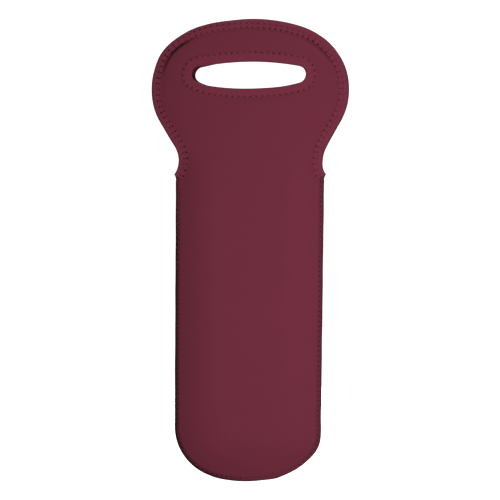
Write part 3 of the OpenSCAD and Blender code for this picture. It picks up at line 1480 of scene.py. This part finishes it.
@dataclass
class Panel:
    """One neoprene panel, pouch and handle in one, as three plies.

    The insets are those of the seam band's loops, in millimetres.
    """
    side: Side
    shop: Workshop
    insets: tuple[float, ...] = (
        0.0, 0.12, 0.4, 0.8, 1.3, 1.8, 2.35, 2.9, 3.45, 4.1, 5.0, 6.2, 7.8, 9.8, 12.4, 15.8, 20.0)
    unsewn_map: float = 30 * MM
    head_coarser: float = 3
    head_crowding: float = 1.3
    head_rings: int = 12
    rings_per_station: int = 8
    weld: float = 0.02 * MM
    fine: int = 3
    coarse: int = 1

    @cached_property
    def loops(self) -> Lengths:
        """Distances of the seam band's loops in from the pouch's edge."""
        return np.array(self.insets) * MM

    def seam_band(self, stations: int) -> bpy.types.Object:
        """The band along the closing seam, as loops that follow the pouch's edge.

        Args:
            stations: faces along each loop.

        Returns:
            The band, flat.
        """
        seam = self.shop.pattern.seam
        run = np.linspace(0, seam.length, stations + 1)
        x, z = (np.stack(part) for part in zip(*(seam.point(run, inset) for inset in self.loops)))
        run_map = np.broadcast_to(run / seam.pitch, x.shape)
        across_map = np.broadcast_to(self.loops[:, None], x.shape)
        return make_patch("seam_band", np.stack([x, x * 0, z], 2), run_map, across_map)

    def middle(self, stations: int) -> bpy.types.Object:
        """The pouch inside its seam band, as a grid stretched between its four sides.

        Args:
            stations: faces along the seam band's loops.

        Returns:
            The grid, flat.
        """
        seam = self.shop.pattern.seam
        run = np.linspace(0, seam.length, stations + 1)
        rim = np.stack(seam.point(run, self.loops[-1]), 1)
        turn = self.corner_station(stations)
        right, bottom, left = rim[:turn + 1], rim[turn:stations - turn + 1], rim[stations - turn:]
        left = left[::-1]
        u = np.linspace(0, 1, len(bottom))[None, :, None]
        v = np.linspace(0, 1, len(right))[:, None, None]
        top = right[0] + (left[0] - right[0]) * u[0]
        flat = (1 - v) * top[None] + v * bottom[None] + (1 - u) * right[:, None] + u * left[:, None]
        flat -= (1 - v) * ((1 - u) * right[0] + u * left[0])
        flat -= v * ((1 - u) * right[-1] + u * left[-1])
        return self.unsewn("middle", flat[..., 0], flat[..., 1])

    def unsewn(self, name: str, x: Lengths, z: Lengths) -> bpy.types.Object:
        """A flat patch whose map lies well away from any row of stitches."""
        return make_patch(name, np.stack([x, x * 0, z], 2), x * 0, x * 0 + self.unsewn_map)

    def corner_station(self, stations: int) -> int:
        """The station halfway round the right bottom corner."""
        side, corner, _ = self.shop.pattern.seam.stretches
        return round((side + corner / 2) / self.shop.pattern.seam.length * stations)

    def head(self, stations: int, rings: int) -> bpy.types.Object:
        """The handle, as a ring of faces between the slot and the outline.

        Args:
            stations: faces along the seam band's loops.
            rings: faces from the slot to the outline.

        Returns:
            The ring, flat.
        """
        seam, edge, tape_t = self.shop.pattern.seam, self.shop.pattern.edge, self.shop.pattern.tape_t
        count = 2 * round(stations * edge.length / seam.length / self.head_coarser)
        lift = edge.foot_a - math.pi - math.asin(edge.neck_h / (edge.neck_r + tape_t))
        start = lift * (edge.neck_r + edge.row_inset)
        x, z = edge.point(np.linspace(start, edge.length - start, count + 1), tape_t)
        x[0], x[-1] = seam.mouth_half, -seam.mouth_half
        z[0] = z[-1] = seam.height
        inner = seam.mouth_half - self.loops[-1]
        columns = stations - 2 * self.corner_station(stations)
        throat = np.concatenate([
            -seam.mouth_half + self.loops[1:], np.linspace(-inner, inner, columns + 1)[1:-1],
            seam.mouth_half - self.loops[::-1]])
        x = np.concatenate([x, throat])
        z = np.concatenate([z, np.full(len(throat), seam.height)])
        near_x, near_z = self.shop.pattern.slot.facing(x, z, tape_t)
        share = 1 - (1 - np.linspace(0, 1, rings + 1)[:, None]) ** self.head_crowding
        return self.unsewn("head", near_x + (x - near_x) * share, near_z + (z - near_z) * share)

    def ply(self, name: str, near: Level, far: Level, per_stitch: int) -> bpy.types.Object:
        """One ply of the panel, as a thin closed sheet between two levels of the stack.

        Args:
            name: the piece's name.
            near: the level that faces the pocket.
            far: the level that faces out.
            per_stitch: stations of the mesh for each stitch of the closing seam.

        Returns:
            The piece, in place.
        """
        seam, stack = self.shop.pattern.seam, self.shop.stack
        stations = 2 * round(seam.length / seam.pitch / 2) * per_stitch
        rings = self.head_rings + self.rings_per_station * per_stitch
        obj = join(name, self.seam_band(stations), self.middle(stations),
                   self.head(stations, rings))
        edit_all(obj, partial(bpy.ops.mesh.remove_doubles, threshold=self.weld),
                 partial(bpy.ops.mesh.normals_make_consistent, inside=False))
        face_along(obj, self.side.value)
        edit_all(obj, bpy.ops.mesh.extrude_region_move)
        raised = np.empty(len(obj.data.vertices), bool)
        obj.data.vertices.foreach_get("select", raised)
        points = read_points(obj)
        x, z = points[:, 0], points[:, 2]
        points[:, 1] = self.side.value * np.where(raised, stack.y(far, x, z), stack.y(near, x, z))
        write_points(obj, points)
        return obj

    @cached_property
    def flat_area(self) -> float:
        """Area of the panel's cut, less the slot.

        Returns:
            The area.
        """
        pattern = self.shop.pattern
        pouch, head, slot = (
            line.point(np.linspace(0, line.length, count), 0.0)
            for line, count in ((pattern.seam, 400), (pattern.edge, 400), (pattern.slot, 200)))
        whole = [np.concatenate([a, b[::-1]]) for a, b in zip(pouch, head)]
        return shoelace(*whole) - shoelace(*slot)

    def build(self) -> None:
        """Builds and dresses the three plies."""
        word, pattern = self.side.word, self.shop.pattern
        for ply, near, far, per_stitch, slot in (
                ("lining", Level.LINING, Level.LINING_FOAM, self.coarse, "jersey_lining"),
                ("foam", Level.LINING_FOAM, Level.FOAM_FACE, self.coarse, "foam_core"),
                ("face", Level.FOAM_FACE, Level.FACE, self.fine, "jersey_face")):
            obj = self.ply(f"{word}_panel_{ply}", near, far, per_stitch)
            self.shop.dress(obj, self.side, ply, slot)
            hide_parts(f"{word}_pouch_{ply}", f"{word}_handle_{ply}")
            pattern.edge.width
            pattern.edge.top_z
            [f"{word}_panel_foam"] if ply != "foam" else []
            self.flat_area
            self.shop.across_throat(obj, self.side)


@dataclass(frozen=True)
class Strand:
    """Sizes of one stitch of thread, which dips into the cloth at both ends."""
    radius: float = 0.2 * MM
    waist_share: float = 0.7
    rise: float = 0.06 * MM
    sunk: float = 0.34 * MM
    reach: float = 0.46
    sides: int = 6
    cuts: int = 5


def thread_blank(strand: Strand) -> bpy.types.Object:
    """A straight round length of thread, cut into rings.

    Args:
        strand: the sizes of one stitch.

    Returns:
        The blank, from -1 to 1 along Z and with a radius of 1.
    """
    bpy.ops.mesh.primitive_cylinder_add(vertices=strand.sides, radius=1, depth=2)
    blank = bpy.context.object
    bpy.ops.object.mode_set(mode="EDIT")
    bpy.ops.mesh.select_mode(type="EDGE")
    bpy.ops.mesh.select_all(action="DESELECT")
    bpy.ops.object.mode_set(mode="OBJECT")
    heights = read_points(blank)[:, 2]
    for edge in blank.data.edges:
        low, high = sorted(heights[list(edge.vertices)])
        edge.select = bool(high - low > 1)
    bpy.ops.object.mode_set(mode="EDIT")
    bpy.ops.mesh.subdivide(number_cuts=strand.cuts)
    bpy.ops.mesh.select_mode(type="VERT")
    bpy.ops.object.mode_set(mode="OBJECT")
    return blank


def sew(name: str, place: Callable[[Lengths, Lengths], Lengths], stitches: int, length: float,
        outward: int, closed: bool, strand: Strand = Strand()) -> bpy.types.Object:
    """Sews a row: one modelled stitch, copied along a line from needle hole to needle hole.

    Args:
        name: the row's name.
        place: gives points on the line, from lengths along it and heights above the cloth.
        stitches: how many stitches the line has.
        length: the line's length.
        outward: the direction along Y in which the cloth faces.
        closed: whether the line comes back to its start.
        strand: the sizes of one stitch.

    Returns:
        The row as one mesh.
    """
    blank = thread_blank(strand)
    unit = read_points(blank)
    faces = [list(face.vertices) for face in blank.data.polygons]
    bpy.data.objects.remove(blank)
    rings = np.linspace(-1, 1, strand.cuts + 2)
    first = np.arange(stitches if closed else stitches - 1)
    run = (first[:, None] + 1 + strand.reach * rings[None]) * (length / stitches)
    arch = np.sqrt(np.clip(1 - rings ** 4, 0, 1))
    lift = np.broadcast_to(arch * (strand.rise + strand.sunk) - strand.sunk, run.shape)
    middle = place(run, lift)
    ahead = np.gradient(middle, axis=1)
    ahead /= np.linalg.norm(ahead, axis=2, keepdims=True)
    across = np.cross(ahead, [0, outward, 0])
    across /= np.linalg.norm(across, axis=2, keepdims=True)
    up = np.cross(across, ahead)
    ring = np.rint((unit[:, 2] + 1) / 2 * (strand.cuts + 1)).astype(int)
    swell = strand.waist_share + (1 - strand.waist_share) * arch[ring]
    thick = strand.radius * swell[:, None]
    points = (middle[:, ring] + across[:, ring] * unit[:, :1] * thick
              + up[:, ring] * unit[:, 1:2] * thick)
    mesh = bpy.data.meshes.new(name)
    mesh.from_pydata(points.reshape(-1, 3).tolist(), [], [
        [corner + len(unit) * copy for corner in face]
        for copy in range(len(first)) for face in faces])
    row = bpy.data.objects.new(name, mesh)
    bpy.context.scene.collection.objects.link(row)
    if volume(row) < 0:
        edit_all(row, bpy.ops.mesh.flip_normals)
    return row


@dataclass
class FoldedTape:
    """A tape folded over an edge of the handle, with its rows of stitches.

    The edge tape is narrowed at one shoulder, where it is drawn in.
    """
    name: str
    side: Side
    shop: Workshop
    line: Outline
    closed: bool
    narrowed: float = 0.0
    narrow_at: float = 0.71
    narrow_w: float = 0.09
    hole_w: float = 0.7 * MM
    hole_t: float = 0.3 * MM
    curl_w: float = 0.6 * MM
    curl_t: float = 0.12 * MM
    lip_w: float = 0.25 * MM
    leaf_steps: int = 12
    fold_steps: int = 12
    per_stitch: int = 4
    weld: float = 0.01 * MM

    def section(self) -> Pair:
        """Once over the fold, from the outer leaf's lip to the inner leaf's.

        Returns:
            Distances in from the fold, and shares of half the thickness.
        """
        tape_w, fold_r = self.shop.pattern.tape_w, self.shop.pattern.fold_r
        steps = np.linspace(tape_w - 2 * self.lip_w, fold_r, self.leaf_steps + 1)[:-1]
        leaf = np.concatenate([[tape_w, tape_w - self.lip_w], steps])
        turn = np.linspace(math.pi / 2, -math.pi / 2, self.fold_steps + 1)
        inset = np.concatenate([leaf, fold_r * (1 - np.cos(turn)), leaf[::-1]])
        share = np.concatenate([leaf * 0 + 1, np.sin(turn), leaf * 0 - 1])
        return inset, share

    def width(self, run: Lengths) -> Lengths:
        """Width of each leaf at a length along the tape."""
        near = bell(run / self.line.length - self.narrow_at, self.narrow_w)
        return self.shop.pattern.tape_w * (1 - self.narrowed * near)

    def spot(self, run: Lengths, inset: Lengths, share: Lengths) -> Lengths:
        """Points of the tape's outer face.

        Args:
            run: length along the tape.
            inset: distance in from the fold.
            share: 1 on the outer leaf, -1 on the inner leaf, between them on the fold.

        Returns:
            The points, with a last axis of 3.
        """
        stack, line = self.shop.stack, self.line
        x, z = line.point(run, inset)
        near = stack.lining_y(x, z)
        far = near + stack.lining_t + stack.foam_here(x, z) + stack.face_t
        hole = (0.5 - 0.5 * np.cos(2 * np.pi * (run * line.stitches / line.length))) ** 2
        rows = (row.place(run / line.length) for row in line.rows)
        dip = sum(bell(inset - row, self.hole_w) for row in rows) * hole * self.hole_t
        curl = self.curl_t * ease((inset - self.width(run) + self.curl_w) / self.curl_w)
        half = (far - near) / 2 - stack.pressed(inset) + self.shop.pattern.tape_t - dip - curl
        y = (near + far) / 2 + share * half
        return np.stack([x, self.side.value * y, z], -1)

    def build(self, material: str) -> bpy.types.Object:
        """Builds the tape as a swept section with a thickness, and dresses it.

        Args:
            material: what the material is for, as finishes() names it.

        Returns:
            The tape.
        """
        pattern, stitches = self.shop.pattern, self.line.stitches
        inset, share = self.section()
        run = np.linspace(0, self.line.length, stitches * self.per_stitch + 1)
        run, inset = np.meshgrid(run, inset, indexing="ij")
        drawn = (self.width(run) - pattern.fold_r) / (pattern.tape_w - pattern.fold_r)
        leaf = pattern.fold_r + (inset - pattern.fold_r) * drawn
        inset = np.where(inset > pattern.fold_r, leaf, inset)
        obj = make_patch(self.name, self.spot(run, inset, np.broadcast_to(share, run.shape)),
                         run * stitches / self.line.length, inset)
        if self.closed:
            edit_all(obj, partial(bpy.ops.mesh.remove_doubles, threshold=self.weld))
        self.face_outwards(obj)
        select_only(obj)
        wall = obj.modifiers.new("wall", "SOLIDIFY")
        wall.thickness, wall.offset = pattern.tape_t, -1
        bpy.ops.object.modifier_apply(modifier=wall.name)
        self.shop.dress(obj, self.side, material, "binding_tape", 50)
        return obj

    def face_outwards(self, obj: bpy.types.Object) -> None:
        """Turns the tape's faces away from the sheet that it wraps.

        Args:
            obj: the tape, before it has a thickness.
        """
        middle = np.median(read_points(obj)[:, 1])
        outward = sum(face.normal.y * (face.center.y - middle) * face.area
                      for face in obj.data.polygons)
        if outward < 0:
            edit_all(obj, bpy.ops.mesh.flip_normals)

    def cut(self) -> tuple[float, float]:
        """The tape's flat width, for two leaves and the fold, and its length."""
        return 2 * self.shop.pattern.tape_w + self.shop.stack.thickness, self.line.length

    def row_spot(self, row: NeedleRow, leaf: Leaf, run: Lengths, lift: Lengths) -> Lengths:
        """Points on or above a row of stitches.

        Args:
            row: the row.
            leaf: the leaf that the stitches are seen on.
            run: length along the tape.
            lift: height above the tape.

        Returns:
            The points, with a last axis of 3.
        """
        spot = self.spot(run, row.place(run / self.line.length), run * 0 + leaf.value)
        spot[..., 1] += self.side.value * leaf.value * lift
        return spot

    def threads(self) -> bpy.types.Object:
        """The tape's rows of stitches on both leaves.

        Returns:
            The rows, as one piece.
        """
        return join(f"{self.name}_stitches", *(
            sew(f"{self.name}_row", partial(self.row_spot, row, leaf), self.line.stitches,
                self.line.length, self.side.value * leaf.value, self.closed)
            for leaf in Leaf for row in self.line.rows))


@dataclass
class ClosingSeam:
    """The stitches that close the pouch round its sides and its bottom."""
    side: Side
    shop: Workshop

    @property
    def free_length(self) -> float:
        """Length of the seam that the tapes' feet leave free, in whole stitches.

        Returns:
            The length.
        """
        seam = self.shop.pattern.seam
        foot = self.shop.pattern.tape_end_h + seam.pitch / 2
        return round((seam.length - 2 * foot) / seam.pitch) * seam.pitch

    def spot(self, run: Lengths, lift: Lengths) -> Lengths:
        """Points on or above the row of stitches.

        Args:
            run: length along the row, from its first needle hole.
            lift: height above the cloth.

        Returns:
            The points, with a last axis of 3.
        """
        seam = self.shop.pattern.seam
        start = round((seam.length - self.free_length) / 2 / seam.pitch) * seam.pitch
        x, z = seam.point(run + start, seam.row_inset)
        y = self.shop.stack.y(Level.FACE, x.ravel(), z.ravel()).reshape(x.shape)
        return np.stack([x, self.side.value * (y + lift), z], -1)

    def build(self) -> None:
        """Sews the row that shows on one side, below the tapes' feet."""
        stitches = round(self.free_length / self.shop.pattern.seam.pitch)
        row = sew(f"{self.side.word}_seam_stitches", self.spot, stitches, self.free_length,
                  self.side.value, False)
        self.shop.dress(row, self.side, "thread", smooth_to=70)
        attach(row, "pouch")


@dataclass
class ThroatTacks:
    """A small round thread tack at each end of a handle's edge tape."""
    side: Side
    shop: Workshop
    tape: FoldedTape
    from_end: float = 6.5 * MM
    ring_r: float = 1.05 * MM
    thread_r: float = 0.3 * MM
    ring_steps: int = 18
    thread_sides: int = 6

    def build(self) -> None:
        """Winds the two tacks and dresses them."""
        line, tacks = self.tape.line, []
        for run in (self.from_end, line.length - self.from_end):
            row = np.array([line.rows[0].inset])
            spot = self.tape.spot(np.array([run]), row, np.ones(1))[0]
            bpy.ops.mesh.primitive_torus_add(
                location=tuple(spot), rotation=(math.pi / 2, 0, 0), major_radius=self.ring_r,
                minor_radius=self.thread_r, major_segments=self.ring_steps,
                minor_segments=self.thread_sides)
            tacks.append(bpy.context.object)
            bpy.ops.object.transform_apply()
        obj = join(f"{self.side.word}_throat_tacks", *tacks)
        self.shop.dress(obj, self.side, "thread")
        self.shop.across_throat(obj, self.side)


@dataclass
class Handle:
    """The bound edges of one handle: its edge tape, its slot tape and their stitches."""
    side: Side
    shop: Workshop
    narrowed: float = 0.25

    def build(self) -> None:
        """Builds both tapes with their stitches and tacks."""
        pattern, word = self.shop.pattern, self.side.word
        edge = FoldedTape(f"{word}_edge_tape", self.side, self.shop, pattern.edge, False,
                          self.narrowed)
        slot = FoldedTape(f"{word}_slot_tape", self.side, self.shop, pattern.slot, True)
        for tape, node in ((edge, "edge_binding"), (slot, "slot_binding")):
            obj = tape.build(f"{word}_{node}" if tape.closed else node)
            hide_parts(f"{word}_{node}")
            tape.cut()
            threads = tape.threads()
            self.shop.dress(threads, self.side, "thread", smooth_to=70)
            for piece in (obj, threads):
                if tape.closed:
                    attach(piece, f"{word}_handle")
                else:
                    self.shop.across_throat(piece, self.side)
        ThroatTacks(self.side, self.shop, edge).build()


@dataclass(frozen=True)
class Lamp:
    """A soft square lamp that looks at the carrier.

    The azimuth is in degrees round from the front, towards +X, and the height in degrees
    above the horizon. The power is in watts.
    """
    name: str
    azimuth: float
    height: float
    distance: float
    size: float
    power: float


@dataclass
class Studio:
    """A plain white sweep, soft lights and the camera."""
    aim: tuple[float, float, float] = (-0.0002, 0.0, 0.2095)
    distance: float = 2.2
    yaw: float = math.radians(4)
    lens: float = 175.0
    sensor: float = 36.0
    sky: float = 0.117
    sky_colour: tuple[float, float, float, float] = (1, 0.985, 0.975, 1)
    white: float = 1.15
    floor_r: float = 6.0
    floor_z: float = -0.5 * MM
    dome_r: float = 6.2
    lamps: tuple[Lamp, ...] = (
        Lamp("key", 20, 5, 0.6, 0.45, 2.15),
        Lamp("low", 20, -25, 0.6, 0.45, 0.84),
        Lamp("front", 0, -10, 0.8, 0.5, 0.93),
        Lamp("rim", 59, 79, 0.6, 0.3, 0.75),
        Lamp("back", 180, 15, 1.5, 0.7, 15.0))

    def build(self) -> None:
        """Sets the view, the backdrop, the lights and the camera."""
        scene = bpy.context.scene
        scene.view_settings.view_transform = "Standard"
        scene.world = bpy.data.worlds.new("studio")
        scene.world.use_nodes = True
        background = scene.world.node_tree.nodes["Background"]
        background.inputs["Color"].default_value = self.sky_colour
        background.inputs["Strength"].default_value = self.sky
        self.camera()
        self.sweep()
        for lamp in self.lamps:
            self.light(lamp)

    def camera(self) -> None:
        """Adds the camera, a few degrees to the right of the front."""
        back = Vector((math.sin(self.yaw), -math.cos(self.yaw), 0))
        bpy.ops.object.camera_add(location=Vector(self.aim) + back * self.distance,
                                  rotation=(math.pi / 2, 0, self.yaw))
        camera = bpy.context.object
        camera.data.lens, camera.data.sensor_width = self.lens, self.sensor
        bpy.context.scene.camera = camera

    def sweep(self) -> None:
        """Adds a white floor and a white dome, which light nothing themselves."""
        bpy.ops.mesh.primitive_circle_add(vertices=64, radius=self.floor_r, fill_type="NGON",
                                          location=(0, 0, self.floor_z))
        floor = bpy.context.object
        floor.name = "floor"
        bpy.ops.mesh.primitive_uv_sphere_add(segments=48, ring_count=24, radius=self.dome_r)
        dome = bpy.context.object
        dome.name = "backdrop"
        edit_all(dome, bpy.ops.mesh.flip_normals)
        shader = Shader("white_sweep")
        material = shader.surface({
            "Base Color": (0.9, 0.9, 0.9, 1), "Roughness": shader.noise(3, 1) * 0.1 + 0.85,
            "Emission Color": (1, 1, 1, 1), "Emission Strength": self.white})
        for obj in (floor, dome):
            obj.data.materials.append(material)
            obj.visible_diffuse = obj.visible_glossy = obj.visible_shadow = False

    def light(self, lamp: Lamp) -> None:
        """Adds a lamp.

        Args:
            lamp: where it stands, how large it is and how strong.
        """
        turn, rise = math.radians(lamp.azimuth), math.radians(lamp.height)
        back = Vector((math.sin(turn) * math.cos(rise), -math.cos(turn) * math.cos(rise),
                       math.sin(rise)))
        bpy.ops.object.light_add(type="AREA", location=Vector(self.aim) + back * lamp.distance,
                                 rotation=(-back).to_track_quat("-Z", "Y").to_euler())
        light = bpy.context.object
        light.name = light.data.name = lamp.name
        light.data.size, light.data.energy = lamp.size, lamp.power


def finishes(pattern: Pattern) -> dict[str, bpy.types.Material]:
    """Builds every material of the carrier.

    Args:
        pattern: the carrier's pattern, for its lines of stitches.

    Returns:
        The materials, by the name of what each is for.
    """
    wine = {"colour": "7B3142", "groove": "642537"}
    tape = {"colour": "823447", "groove": "6A273A", "along_line": True, "wale": 0.5 * MM}
    # Painted shade along the closing seam where light falls off: at its edge, along its row, broader
    # on the left.
    seam_edge_painted_shade = ((0, 0.52), (0.38, 0.52), (0.43, 0.12), (0.5, 0.2), (0.56, 0.5), (0.6, 0))
    seam_deep_painted_shade = ((0, 0), (0.5, 0), (0.56, 0.5), (0.62, 0.77), (0.91, 0.77), (0.94, 0.5),
                       (1, 0.5))
    # Painted shadow at both ends of the back slot tape's inner leaf, in the front handle's shade.
    slot_ends_painted_shadow = ((0, 0.72), (0.12, 0.72), (0.2, 0), (0.45, 0), (0.53, 0.72), (0.62, 0.72),
                       (0.7, 0))
    looks = {
        "face": JerseyFinish("jersey_face", line=pattern.seam, row_painted_shade=0.34,
                             edge_painted_shade=seam_edge_painted_shade, deep_painted_shade=seam_deep_painted_shade, **wine),
        "lining": JerseyFinish("jersey_lining", colour="4A1F2B", groove="371520"),
        "edge_binding": JerseyFinish("edge_tape", line=pattern.edge, **tape),
        "front_slot_binding": JerseyFinish("front_slot_tape", line=pattern.slot, **tape),
        "back_slot_binding": JerseyFinish("back_slot_tape", line=pattern.slot,
                                          deep_painted_shade=slot_ends_painted_shadow, painted_shade_to_y=9.6 * MM,
                                          **tape),
        "foam": FoamFinish(),
        "thread": ThreadFinish(),
    }
    return {name: look.material() for name, look in looks.items()}


def main() -> None:
    """Loads the frame and dresses it, sub-assembly by sub-assembly."""
    logging.basicConfig(level=logging.INFO, format="%(message)s")
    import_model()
    bpy.ops.object.select_all(action="DESELECT")
    Studio().build()
    stack = Stack()
    shop = Workshop(stack, Lie(), finishes(stack.pattern))
    for side in Side:
        Panel(side, shop).build()
        Handle(side, shop).build()
        ClosingSeam(side, shop).build()


if __name__ == "__main__":
    main()
